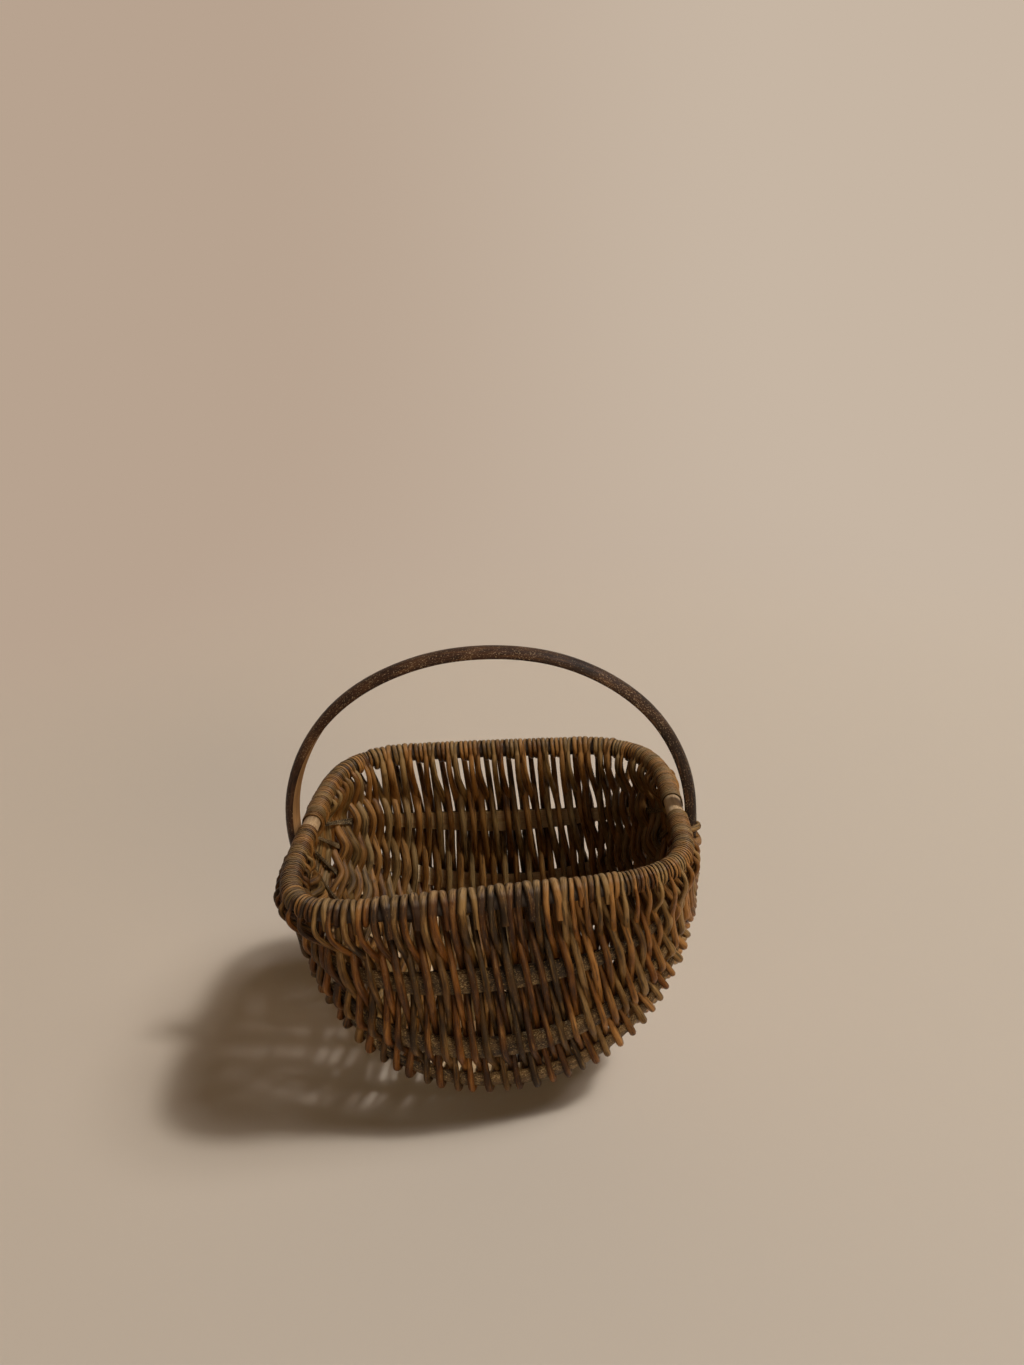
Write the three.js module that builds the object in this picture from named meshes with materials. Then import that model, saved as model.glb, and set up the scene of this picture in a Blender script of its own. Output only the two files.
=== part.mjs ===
// Melon basket: two bent hoops, split ribs that fan out from the two handle joints, and willow rods
// woven over and under the ribs, from the front rim down, under the bowl and up to the back rim.
// Millimetres, +Z up. The front looks along -Y and the handle joints lie on the X axis.

import * as THREE from 'three';

// Rim hoop: a round rod bent to a rounded oblong
const rimHalfWidth = 140; // middle of the basket to the rim's centre line, at a handle joint
const rimHalfDepth = 119; // middle of the basket to the rim's centre line, at the front
const rimSquareness = 4.76; // exponent of the outline: 2 is an ellipse, more is squarer
const rimThick = 13;
const rimSteps = 22; // for each of its front and back halves
const rimSides = 6;

// Handle hoop: one half-round strip, the handle above the rim and the keel below it
const handleHeight = 138; // rim's centre line to the middle of the strip at the top
const handleLean = 4.5; // how far the top of the handle leans to the front
const handleSquareness = 2.05; // exponent, as for the rim
const handleSteps = 21; // odd, so that one flat step lies at the top, and for the keel at the bottom
const keelSquareness = 2; // exponent, as for the rim
const keelSteps = 29;
const keelDrop = 5.2; // how far the keel hangs below the ribs beside it, so that the basket stands on it
const hoopWide = 14;
const hoopThick = 8;
const hoopTwist = -13; // degrees that the strip is turned at its sides; at the left its inner face looks forward

// Bowl
const bowlDepth = 196.5; // rim's centre line to the lowest line of the ribs
const bowlSquareness = 4; // exponent, as for the rim
const squareFallRatio = 0.7; // exponent: how soon the bowl turns from the rim's outline to the keel's

// What the maker's hands left out of true
const leftExtraDepth = 43; // front to back, the left side over the right side
const rightSetBack = 11; // the right side's corners are set back by this much
const jointForward = 11.5; // both joints lie to the front of the middle
const frontDip = 5; // the front rim hangs below the joints
const dipReach = 30; // how far down the front this is felt
const frontExtraWidth = 10; // the front over the back
const bowlShift = 5; // the bottom lies to the right of the rim

// Ribs, from the rim down to the keel; those behind mirror those in front
const ribAngles = [30, 49, 60, 74]; // degrees below the rim, half-way along
const ribJointAngles = [26, 39, 55, 69]; // degrees below the rim, close to a joint
const ribTipGaps = [63, 40, 40, 63]; // from a joint to the rib's pointed tip
const ribWide = 20;
const ribThick = 6;
const ribTipWide = 4;
const ribTipThick = 3;
const ribSteps = 21;

// Rods: each one makes two rows, out and back
const rodCount = 50;
const crowdingRatio = 0.1; // rows lie closer at the joints and further apart in the middle, by this share
const driftRatio = 0.009; // in the middle the rows lie further to the right, by this share
const jointBare = 11; // bare length of rim from a joint to the first row
const gapRatio = 0.255; // between neighbouring rods, as a share of the room for one
const stubRatio = 2.2; // cut end hanging outside the rim, in rod thicknesses
const tuckRatio = 1.5; // cut end tucked inside the rim, in rod thicknesses
const clearance = 0.3; // between pieces that lie on one another
const jointGap = 0.6; // the same at the joints, where things lie askew

const up = new THREE.Vector3(0, 0, 1);
const rows = 2 * rodCount;
const turnsOverRim = rimSides / 2;
const twist = THREE.MathUtils.degToRad(hoopTwist);
const twistRoom = hoopWide * Math.abs(Math.sin(twist));
const hoopOffset = (rimThick + hoopThick + twistRoom) / 2 + jointGap; // the hoop runs outside the rim

// Half-round section, flat towards the inside, in half widths across and half thicknesses outwards
const domeEdge = { across: 0.8, out: 0 };
const halfRound = [
  [-1, -1],
  [1, -1],
  [domeEdge.across, domeEdge.out],
  [0, 1],
  [-domeEdge.across, domeEdge.out],
];

// Distance from the middle of a squared oval to its outline, in one direction
function ovalReach(angle, half, otherHalf, squareness) {
  const a = Math.abs(Math.cos(angle) / half) ** squareness;
  const b = Math.abs(Math.sin(angle) / otherHalf) ** squareness;
  return (a + b) ** (-1 / squareness);
}

// Moves a point of the true form to where the hand-made basket has it
function outOfTrue(x, y, z) {
  const side = x / rimHalfWidth;
  const toRim = Math.min(1, (y / rimHalfDepth) ** 2);
  const deeper = 1 - (leftExtraDepth / (4 * rimHalfDepth)) * side;
  const back = y * deeper + (rightSetBack / 2) * side * toRim - jointForward * (1 - toRim);
  const wider = 1 - (frontExtraWidth / (4 * rimHalfWidth)) * (back / rimHalfDepth);
  const shift = bowlShift * Math.max(0, -z / bowlDepth);
  const dip = y < 0 ? frontDip * toRim * Math.exp(Math.min(0, z) / dipReach) : 0;
  return new THREE.Vector3(x * wider + shift, back, z - dip);
}

// Point of the bowl: fan is 0 at the front rim, 90 degrees at the keel and 180 degrees at the back rim,
// and turn runs from 0 at the left joint to 180 degrees at the right joint
function shellPoint(fan, turn) {
  const forward = Math.cos(fan);
  const down = Math.sin(fan);
  const halfWidth = rimHalfWidth + hoopOffset * down ** 2;
  const depth = ovalReach(fan, rimHalfDepth, bowlDepth, bowlSquareness);
  const squareness = rimSquareness + (keelSquareness - rimSquareness) * down ** squareFallRatio;
  const reach = ovalReach(turn, halfWidth, depth, squareness);
  const radius = reach * Math.sin(turn);
  return outOfTrue(-reach * Math.cos(turn), -radius * forward, -radius * down);
}

function shellOutward(fan, turn) {
  const step = 1e-3;
  const downward = shellPoint(fan + step, turn).sub(shellPoint(fan - step, turn));
  const sideward = shellPoint(fan, turn + step).sub(shellPoint(fan, turn - step));
  return downward.cross(sideward).normalize();
}

// Depth of the keel's centre line, from that of the lowest ribs
const lowestFan = THREE.MathUtils.degToRad(ribAngles.at(-1));
const lowestRib = ovalReach(lowestFan, rimHalfDepth, bowlDepth, bowlSquareness) * Math.sin(lowestFan);
const keelDepth = lowestRib + (ribThick - hoopThick) / 2 + keelDrop;

// Point of the handle hoop: turn runs from the left joint under the bowl to the right joint at
// 180 degrees, and on over the handle
function hoopPoint(turn) {
  const under = turn <= Math.PI;
  const height = under ? keelDepth : handleHeight;
  const roundness = under ? keelSquareness : handleSquareness;
  const reach = ovalReach(turn, rimHalfWidth + hoopOffset, height, roundness);
  const z = -reach * Math.sin(turn);
  const lean = handleLean * Math.max(0, z / handleHeight) ** 2;
  return outOfTrue(-reach * Math.cos(turn), -lean, z);
}

// A line from joint to joint that rods cross, measured along its length
class StakeLine extends THREE.Curve {
  constructor(place) {
    super();
    this.place = place;
    this.arcLengthDivisions = 500;
  }

  getPoint(t) {
    return this.place(t);
  }
}

// Frames along a line, from one share of its length to another: along it, outwards, and across it
// from the front to the back
function layStations(line, outwardAt, first, last, steps, sizeAt) {
  return Array.from({ length: steps + 1 }, (_, k) => {
    const share = first + ((last - first) * k) / steps;
    const t = line.getUtoTmapping(share);
    const along = line.getTangent(t);
    const out = outwardAt(t, along);
    out.addScaledVector(along, -out.dot(along)).normalize();
    const across = new THREE.Vector3().crossVectors(along, out);
    return { share, point: line.getPoint(t), along, out, across, ...sizeAt(share) };
  });
}

// Frame of a stake at a share of its line, on the straight between two stations
function frameAt(stake, share) {
  const { stations } = stake;
  const spacing = (stations.at(-1).share - stations[0].share) / (stations.length - 1);
  const place = (share - stations[0].share) / spacing;
  const k = Math.min(stations.length - 2, Math.max(0, Math.floor(place)));
  const [a, b] = [stations[k], stations[k + 1]];
  const mix = place - k;
  return {
    point: a.point.clone().lerp(b.point, mix),
    along: a.along.clone().lerp(b.along, mix).normalize(),
    out: a.out.clone().lerp(b.out, mix).normalize(),
    across: a.across.clone().lerp(b.across, mix).normalize(),
    halfWide: THREE.MathUtils.lerp(a.halfWide, b.halfWide, mix),
    halfThick: THREE.MathUtils.lerp(a.halfThick, b.halfThick, mix),
  };
}

function makeRim(fan, steps) {
  const front = fan === 0;
  const line = new StakeLine((t) => shellPoint(fan, Math.PI * t));
  const outward = (t, along) => (front ? along.clone().cross(up) : up.clone().cross(along));
  const half = rimThick / 2;
  const stations = layStations(line, outward, 0, 1, steps, () => ({ halfWide: half, halfThick: half }));
  return { kind: 'rim', line, stations };
}

function makeRib(fan, jointFan, tipGap) {
  const fanAt = (t) => jointFan + (fan - jointFan) * Math.sin(Math.PI * t) ** 2;
  const line = new StakeLine((t) => shellPoint(fanAt(t), Math.PI * t));
  const outward = (t) => shellOutward(fanAt(t), Math.PI * t);
  const tip = tipGap / line.getLength();
  const sizeAt = (share) => {
    const swell = Math.sin(Math.PI * ((share - tip) / (1 - 2 * tip)));
    return {
      halfWide: THREE.MathUtils.lerp(ribTipWide, ribWide, swell) / 2,
      halfThick: THREE.MathUtils.lerp(ribTipThick, ribThick, swell) / 2,
    };
  };
  return { kind: 'rib', line, stations: layStations(line, outward, tip, 1 - tip, ribSteps, sizeAt), fanAt };
}

// The front-to-back direction of the hoop's strip, but for its twist: square to the line of the joints
const jointLine = hoopPoint(Math.PI).sub(hoopPoint(0));
const hoopAcross = up.clone().cross(jointLine).normalize();

function makeHoop(firstTurn, steps) {
  const line = new StakeLine((t) => hoopPoint(firstTurn + Math.PI * t));
  const outward = (t, along) => hoopAcross.clone().applyAxisAngle(up, twist * along.z ** 2).cross(along);
  const size = { halfWide: hoopWide / 2, halfThick: hoopThick / 2 };
  return { kind: 'keel', line, stations: layStations(line, outward, 0, 1, steps, () => size) };
}

const frontRim = makeRim(0, rimSteps);
const backRim = makeRim(Math.PI, rimSteps);
const keel = makeHoop(0, keelSteps);
const handle = makeHoop(Math.PI, handleSteps);
const degrees = THREE.MathUtils.degToRad;
const frontRibs = ribAngles.map((fan, k) => makeRib(degrees(fan), degrees(ribJointAngles[k]), ribTipGaps[k]));
const backRibs = ribAngles.map((fan, k) => {
  return makeRib(degrees(180 - fan), degrees(180 - ribJointAngles[k]), ribTipGaps[k]);
});
const stakes = [frontRim, ...frontRibs, keel, ...[...backRibs].reverse(), backRim];

// Share of each stake's length at which a row crosses it
function rowShare(row) {
  const even = (row + 0.5) / rows;
  const crowded = even - (crowdingRatio * Math.sin(2 * Math.PI * even)) / (2 * Math.PI);
  const drifted = crowded + driftRatio * Math.sin(Math.PI * even) ** 2;
  const bare = jointBare / frontRim.line.getLength();
  return bare + (1 - 2 * bare) * drifted;
}

// Where a row crosses a stake; ribs stop short of the joints, and there the row only follows their line
function crossing(stake, row) {
  const share = rowShare(row);
  const ends = [stake.stations[0].share, stake.stations.at(-1).share];
  if (share > ends[0] && share < ends[1]) {
    return { ...frameAt(stake, share), free: false };
  }
  const t = stake.line.getUtoTmapping(share);
  const out = shellOutward(stake.fanAt(t), Math.PI * t);
  return { point: stake.line.getPoint(t), along: stake.line.getTangent(t), out, free: true };
}

const crossings = Array.from({ length: rows }, (_, row) => stakes.map((stake) => crossing(stake, row)));

// The room between two neighbouring rows, square to them, least of all on the inner side of the rim
function roomBetween(row, nextRow) {
  const spans = crossings[row].map((here, k) => {
    const there = crossings[nextRow][k];
    const inset = stakes[k].kind === 'rim' ? -rimThick : 0;
    const gap = there.point.clone().addScaledVector(there.out, inset);
    gap.sub(here.point).addScaledVector(here.out, -inset);
    const beside = [crossings[row][k - 1], crossings[row][k + 1]].filter(Boolean);
    const slants = beside.map((other) => other.point.clone().sub(here.point).normalize().dot(gap));
    return Math.sqrt(gap.lengthSq() - Math.max(...slants.map((slant) => slant ** 2)));
  });
  return Math.min(...spans);
}

// Half the thickness of a rod whose two rows are its number times two and the one after
function rodHalf(rod) {
  const first = Math.max(0, 2 * rod - 1);
  const last = Math.min(rows - 1, 2 * rod + 2);
  let room = Infinity;
  for (let row = first; row < last; row += 1) {
    room = Math.min(room, roomBetween(row, row + 1));
  }
  return (room * (1 - gapRatio)) / 2;
}

const isOutside = (row, stake) => (row + stake) % 2 === 0;
const slantRatio = 1.03; // a rod lies a little askew over the rim, and takes this much more room
const wrapRadius = (half) => rimThick / 2 + (slantRatio * half + clearance) / Math.cos(Math.PI / rimSides);

// A stop below the rim, for the rows close to a joint, which bend round it before they cross over
function underRim(frame, sign, half) {
  const angle = Math.PI / turnsOverRim;
  const point = frame.point.clone().addScaledVector(up, -wrapRadius(half) * Math.sin(angle));
  return { point, reach: sign * wrapRadius(half) * Math.cos(angle) };
}

// Stops of one row from the front rim to the back rim, both rims included, at the middle of each stake,
// with how far from it the rod passes: outwards is positive
function rowStops(row, half) {
  const corner = hoopWide / 2 + clearance + half;
  const keelPoint = crossings[row][stakes.indexOf(keel)].point;
  const byJoint = crossings[row].some((frame) => frame.free);
  const stops = [];
  crossings[row].forEach((frame, k) => {
    const { kind } = stakes[k];
    const sign = isOutside(row, k) ? 1 : -1;
    const stop = { ...frame, side: frame.along, sign, kind };
    if (kind === 'rim') {
      const under = { ...stop, ...underRim(frame, sign, half) };
      const onRim = { ...stop, reach: sign * wrapRadius(half) };
      const hugging = k === 0 ? [onRim, under] : [under, onRim];
      stops.push(...(byJoint ? hugging : [onRim]));
    } else if (kind === 'keel') {
      const reach = sign * (hoopThick / 2 + (byJoint ? jointGap : clearance) + half);
      for (const end of [-corner, corner]) {
        stops.push({ ...stop, point: frame.point.clone().addScaledVector(frame.across, end), reach });
      }
    } else if (!frame.free) {
      stops.push({ ...stop, reach: sign * (frame.halfThick + clearance + half) });
    } else {
      const rims = [crossings[row][0].point, crossings[row].at(-1).point];
      const nearRim = rims.some((point) => point.distanceTo(frame.point) < rimThick);
      if (!nearRim && keelPoint.distanceTo(frame.point) > 2 * corner) {
        stops.push({ ...stop, reach: 0 });
      }
    }
  });
  return stops;
}

// A rod that crosses steeply stands further off a rib, to pass its edges
function settleOnRibs(stops, half) {
  const settled = stops.map((stop) => ({ ...stop }));
  const passing = (stop) => stop.point.clone().addScaledVector(stop.out, stop.reach);
  const leanTo = (stop, other) => {
    const way = passing(other).sub(passing(stop));
    const run = Math.abs(way.dot(stop.across));
    return { lean: (-stop.sign * way.dot(stop.out)) / run, slant: Math.abs(way.dot(stop.along)) / run };
  };
  settled.forEach((stop, k) => {
    if (stop.kind !== 'rib') {
      return;
    }
    if (stop.free) {
      const before = stops.findLastIndex((other, n) => n < k && !other.free);
      const after = stops.findIndex((other, n) => n > k && !other.free);
      const mix = (k - before) / (after - before);
      stop.reach = THREE.MathUtils.lerp(stops[before].reach, stops[after].reach, mix);
      return;
    }
    const ways = [leanTo(stop, stops[k - 1]), leanTo(stop, stops[k + 1])];
    const lean = Math.max(0, ...ways.map((way) => way.lean));
    const slant = Math.max(...ways.map((way) => way.slant));
    const stand = (half + clearance) * Math.hypot(1, lean);
    const flatEdge = stop.halfThick + lean * (stop.halfWide + slant * half);
    const roundEdge = domeEdge.out * stop.halfThick + lean * (domeEdge.across * stop.halfWide + slant * half);
    stop.reach = stop.sign * (stand + (stop.sign > 0 ? Math.max(stop.halfThick, roundEdge) : flatEdge));
  });
  return settled;
}

const settlePasses = 10;

function layRow(row, half) {
  let stops = rowStops(row, half);
  for (let pass = 0; pass < settlePasses; pass += 1) {
    stops = settleOnRibs(stops, half);
  }
  return stops.map((stop) => ({
    point: stop.point.clone().addScaledVector(stop.out, stop.reach),
    side: stop.side,
    seat: stop.point,
  }));
}

// Stops over the top of a rim, from its outer side to its inner side
function overRim(rim, outerRow, innerRow, half) {
  const radius = wrapRadius(half);
  const outerShare = rowShare(outerRow);
  const innerShare = rowShare(innerRow);
  return Array.from({ length: turnsOverRim + 1 }, (_, k) => {
    const angle = (Math.PI * k) / turnsOverRim;
    const frame = frameAt(rim, THREE.MathUtils.lerp(outerShare, innerShare, k / turnsOverRim));
    const point = frame.point.clone().addScaledVector(frame.out, radius * Math.cos(angle));
    point.addScaledVector(up, radius * Math.sin(angle));
    return { point, side: frame.along };
  });
}

// The cut end of a row, carried over the rim and down the other side, beside its own rows
function endOver(rim, row, laidRow, half, length) {
  const stops = overRim(rim, row, row, half);
  if (!isOutside(row, 0)) {
    stops.reverse();
  }
  const downRow = laidRow[1].seat.clone().sub(laidRow[0].seat).setLength(length * 2 * half);
  const end = { point: stops.at(-1).point.clone().add(downRow), side: stops.at(-1).side };
  return [...stops.slice(1), end];
}

// Path of a whole rod: a tucked end, a row, a turn over the far rim, the next row and a hanging end
function rodPath(rod, half) {
  const [outerRow, innerRow] = [2 * rod, 2 * rod + 1];
  const turnsAtBack = rod % 2 === 0;
  const [startRim, turnRim] = turnsAtBack ? [frontRim, backRim] : [backRim, frontRim];
  const laid = [outerRow, innerRow].map((row) => {
    const stops = layRow(row, half);
    return turnsAtBack ? stops : stops.reverse();
  });
  const tuck = endOver(startRim, outerRow, laid[0], half, tuckRatio).reverse();
  const stub = endOver(startRim, innerRow, laid[1], half, stubRatio);
  const turn = overRim(turnRim, outerRow, innerRow, half);
  const backRow = laid[1].slice(0, -1).reverse();
  return [...tuck, ...laid[0].slice(0, -1), ...turn, ...backRow, ...stub];
}

// Solid through a row of equal rings of points, closed on itself or capped at both ends
function loft(rings, closed) {
  const count = rings[0].length;
  const positions = rings.flat().flatMap((point) => point.toArray());
  const index = [];
  const spans = closed ? rings.length : rings.length - 1;
  for (let k = 0; k < spans; k += 1) {
    const here = k * count;
    const there = ((k + 1) % rings.length) * count;
    for (let n = 0; n < count; n += 1) {
      const next = (n + 1) % count;
      index.push(here + n, there + n, there + next);
      index.push(here + n, there + next, here + next);
    }
  }
  if (!closed) {
    const last = (rings.length - 1) * count;
    for (let n = 1; n < count - 1; n += 1) {
      index.push(0, n, n + 1);
      index.push(last, last + n + 1, last + n);
    }
  }
  const geometry = new THREE.BufferGeometry();
  geometry.setAttribute('position', new THREE.Float32BufferAttribute(positions, 3));
  geometry.setIndex(index);
  geometry.computeVertexNormals();
  return geometry;
}

function stripRing(station) {
  return halfRound.map(([across, out]) => {
    const point = station.point.clone().addScaledVector(station.across, across * station.halfWide);
    return point.addScaledVector(station.out, out * station.halfThick);
  });
}

function rimRing(station) {
  return Array.from({ length: rimSides }, (_, n) => {
    const angle = (2 * Math.PI * n) / rimSides;
    const point = station.point.clone().addScaledVector(station.out, station.halfThick * Math.cos(angle));
    return point.addScaledVector(up, station.halfThick * Math.sin(angle));
  });
}

// Square rod along a path, mitred at each stop
function rodSolid(path, half) {
  const corners = [[1, 1], [-1, 1], [-1, -1], [1, -1]];
  const rings = path.map((stop, k) => {
    const before = path[k - 1] ?? stop;
    const after = path[k + 1] ?? stop;
    const arrive = stop.point.clone().sub(before.point).normalize();
    const leave = after.point.clone().sub(stop.point).normalize();
    const onward = arrive.clone().add(leave).normalize();
    const side = stop.side.clone().addScaledVector(onward, -stop.side.dot(onward)).normalize();
    const depth = side.clone().cross(onward);
    const mitre = 1 / Math.max(onward.dot(arrive), onward.dot(leave));
    return corners.map(([a, b]) => {
      const point = stop.point.clone().addScaledVector(side, a * half);
      return point.addScaledVector(depth, b * half * mitre);
    });
  });
  return loft(rings, false);
}

const colours = {
  handle: 0x46301f,
  rim: 0xb39468,
  rib: 0x6f5b43,
  rods: [0x6b4522, 0x5a4a35, 0x7a4f26, 0x4a3018, 0x66533a],
};

function woodMesh(name, geometry, colour) {
  const material = new THREE.MeshStandardMaterial({ color: colour, roughness: 0.6, metalness: 0 });
  const mesh = new THREE.Mesh(geometry, material);
  mesh.name = name;
  return mesh;
}

const basket = new THREE.Group();
basket.name = 'melon_basket';

const hoopRings = [...keel.stations.slice(0, -1), ...handle.stations.slice(0, -1)].map(stripRing);
basket.add(woodMesh('handle_hoop', loft(hoopRings, true), colours.handle));

const rimRings = [...frontRim.stations.slice(0, -1), ...backRim.stations.slice(1).reverse()].map(rimRing);
basket.add(woodMesh('rim_hoop', loft(rimRings, true), colours.rim));

frontRibs.forEach((rib, k) => {
  basket.add(woodMesh(`rib_front_${k + 1}`, loft(rib.stations.map(stripRing), false), colours.rib));
});
backRibs.forEach((rib, k) => {
  basket.add(woodMesh(`rib_back_${k + 1}`, loft(rib.stations.map(stripRing), false), colours.rib));
});

for (let rod = 0; rod < rodCount; rod += 1) {
  const half = rodHalf(rod);
  const name = `rod_${String(rod + 1).padStart(2, '0')}`;
  const colour = colours.rods[rod % colours.rods.length];
  basket.add(woodMesh(name, rodSolid(rodPath(rod, half), half), colour));
}

// The basket stands on the ground, with the middle of its box over the origin
const box = new THREE.Box3().setFromObject(basket);
const middle = box.getCenter(new THREE.Vector3());
basket.position.set(-middle.x, -middle.y, -box.min.z);

const scene = new THREE.Group();
scene.add(basket);

export default scene;
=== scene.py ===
import math

import bpy
import numpy as np
from mathutils import Matrix, Vector


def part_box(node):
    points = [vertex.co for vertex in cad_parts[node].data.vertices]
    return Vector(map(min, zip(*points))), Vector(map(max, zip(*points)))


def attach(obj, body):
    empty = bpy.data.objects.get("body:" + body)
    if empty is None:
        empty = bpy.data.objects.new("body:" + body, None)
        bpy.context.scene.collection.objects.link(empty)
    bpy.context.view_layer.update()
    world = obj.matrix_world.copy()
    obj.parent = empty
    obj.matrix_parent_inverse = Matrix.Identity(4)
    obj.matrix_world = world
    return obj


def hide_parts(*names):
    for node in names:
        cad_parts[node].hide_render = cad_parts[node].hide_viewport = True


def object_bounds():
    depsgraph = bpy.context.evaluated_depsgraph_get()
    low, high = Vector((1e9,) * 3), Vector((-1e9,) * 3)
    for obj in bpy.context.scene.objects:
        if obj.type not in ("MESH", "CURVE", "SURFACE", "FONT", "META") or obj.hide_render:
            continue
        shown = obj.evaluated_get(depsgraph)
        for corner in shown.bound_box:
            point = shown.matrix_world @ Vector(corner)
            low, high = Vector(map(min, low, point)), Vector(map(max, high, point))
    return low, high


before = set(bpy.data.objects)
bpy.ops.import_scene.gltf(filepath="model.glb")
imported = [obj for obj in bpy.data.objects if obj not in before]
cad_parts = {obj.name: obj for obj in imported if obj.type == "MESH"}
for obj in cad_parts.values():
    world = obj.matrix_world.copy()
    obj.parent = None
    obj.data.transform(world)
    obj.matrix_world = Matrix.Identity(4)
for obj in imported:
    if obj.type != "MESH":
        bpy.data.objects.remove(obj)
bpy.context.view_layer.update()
print("frame loaded:", len(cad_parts), "solids")

mm = 0.001  # all shapes are worked out in millimetres and made in metres
tiny = 1e-12
seed = 41
chance = np.random.default_rng(seed)

# The basket's true form, as in the solids
bowl = {
    "halfWidth": 140.0,
    "halfDepth": 119.0,
    "rimSquareness": 4.76,
    "depth": 196.5,
    "squareness": 4.0,
    "keelSquareness": 2.0,
    "squareFall": 0.7,
    "leftExtraDepth": 43.0,
    "rightSetBack": 11.0,
    "frontExtraWidth": 10.0,
    "shift": 5.0,
    "jointForward": 11.5,
    "frontDip": 5.0,
    "dipReach": 30.0,
}


def ovalReach(angle, half, otherHalf, squareness):
    a = np.abs(np.cos(angle) / half) ** squareness
    b = np.abs(np.sin(angle) / otherHalf) ** squareness
    return (a + b) ** (-1 / squareness)


def outOfTrue(x, y, z):
    side = x / bowl["halfWidth"]
    toRim = np.minimum(1, (y / bowl["halfDepth"]) ** 2)
    deeper = 1 - bowl["leftExtraDepth"] / (4 * bowl["halfDepth"]) * side
    back = y * deeper + bowl["rightSetBack"] / 2 * side * toRim - bowl["jointForward"] * (1 - toRim)
    wider = 1 - bowl["frontExtraWidth"] / (4 * bowl["halfWidth"]) * back / bowl["halfDepth"]
    shift = bowl["shift"] * np.maximum(0, -z / bowl["depth"])
    dip = np.where(y < 0, bowl["frontDip"] * toRim * np.exp(np.minimum(0, z) / bowl["dipReach"]), 0)
    return np.stack([x * wider + shift, back, z - dip], axis=-1)


def shellPoint(fan, turn):
    forward, down = np.cos(fan), np.abs(np.sin(fan))
    halfWidth = bowl["halfWidth"] + hoop["offset"] * down**2
    depth = ovalReach(fan, bowl["halfDepth"], bowl["depth"], bowl["squareness"])
    squarer = bowl["keelSquareness"] - bowl["rimSquareness"]
    squareness = bowl["rimSquareness"] + squarer * down ** bowl["squareFall"]
    reach = ovalReach(turn, halfWidth, depth, squareness)
    radius = reach * np.sin(turn)
    return outOfTrue(-reach * np.cos(turn), -radius * forward, -radius * down)


def ramp(values, low, high):
    return np.clip((values - low) / (high - low), 0, 1)


def unit(v):
    return v / np.maximum(np.linalg.norm(v, axis=-1, keepdims=True), tiny)


# Length of a path up to each of its points
def pathLengths(points):
    return np.r_[0, np.cumsum(np.linalg.norm(np.diff(points, axis=0), axis=1))]


def shellOutward(fan, turn):
    step = 1e-3
    downward = shellPoint(fan + step, turn) - shellPoint(fan - step, turn)
    sideward = shellPoint(fan, turn + step) - shellPoint(fan, turn - step)
    return unit(np.cross(downward, sideward))


# Rim, hoop and ribs: what the rods are woven on
rim = {
    "thick": 13.0,
    "steps": 360,
    "sides": 14,
    "bare": 16.0,
    "bareEdge": 1.3,
    "uneven": 0.01,
    "unevenWaves": 20,
    "crease": 60.0,
}
hoop = {
    "wide": 14.0,
    "thick": 8.0,
    "jointGap": 0.6,
    "handleHeight": 138.0,
    "handleLean": 4.5,
    "twist": math.radians(-13.0),
    "handleSquareness": 2.05,
    "keelDrop": 5.2,
    "steps": 260,
    "wobble": 0.35,
    "toneSpread": 0.1,
    "toneWaves": 30,
}
hoopTilt = hoop["wide"] * abs(math.sin(hoop["twist"]))
hoop["offset"] = (rim["thick"] + hoop["thick"] + hoopTilt) / 2 + hoop["jointGap"]
rib = {
    "angles": [30, 49, 60, 74],
    "jointAngles": [26, 39, 55, 69],
    "tipGaps": [40, 30, 30, 40],
    "wide": 20.0,
    "thick": 6.0,
    "tipWide": 2.2,
    "tipThick": 2.6,
    "tipLaid": 52.0,
    "tipDark": 16.0,
    "swell": 2.0,
    "steps": 110,
    "wobble": 0.3,
    "poleClear": 0.004,
    "toneSpread": 0.12,
    "toneWaves": 14,
    "barkLength": 900.0,
}
lowestFan = math.radians(rib["angles"][-1])
lowestRib = ovalReach(lowestFan, bowl["halfDepth"], bowl["depth"], bowl["squareness"]) * math.sin(lowestFan)
hoop["keelDepth"] = lowestRib + (rib["thick"] - hoop["thick"]) / 2 + hoop["keelDrop"]
up = np.array([0.0, 0.0, 1.0])


def hoopPoint(turn):
    turn = np.asarray(turn, float)
    under = turn <= math.pi
    height = np.where(under, hoop["keelDepth"], hoop["handleHeight"])
    squareness = np.where(under, bowl["keelSquareness"], hoop["handleSquareness"])
    reach = ovalReach(turn, bowl["halfWidth"] + hoop["offset"], height, squareness)
    z = -reach * np.sin(turn)
    lean = hoop["handleLean"] * np.maximum(0, z / hoop["handleHeight"]) ** 2
    return outOfTrue(-reach * np.cos(turn), -lean, z)


# A line that rods cross, sampled closely, with its outward direction and its shares of the length
def layLine(kind, place, outward, count=1201):
    t = np.linspace(0, 1, count)
    points = place(t)
    lengths = pathLengths(points)
    along = unit(np.gradient(points, axis=0))
    out = outward(t, along)
    out = unit(out - along * np.sum(out * along, axis=1, keepdims=True))
    line = {"kind": kind, "points": points, "along": along, "out": out}
    line.update(share=lengths / lengths[-1], length=lengths[-1], ends=(0.0, 1.0))
    return line


def onLine(line, key, share):
    share = np.atleast_1d(share)
    return np.stack([np.interp(share, line["share"], line[key][:, k]) for k in range(3)], axis=-1)


def makeRimLine(fan):
    sign = 1 if fan == 0 else -1
    return layLine(
        "rim",
        lambda t: shellPoint(fan, math.pi * t),
        lambda t, along: sign * np.cross(along, up),
    )


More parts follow.
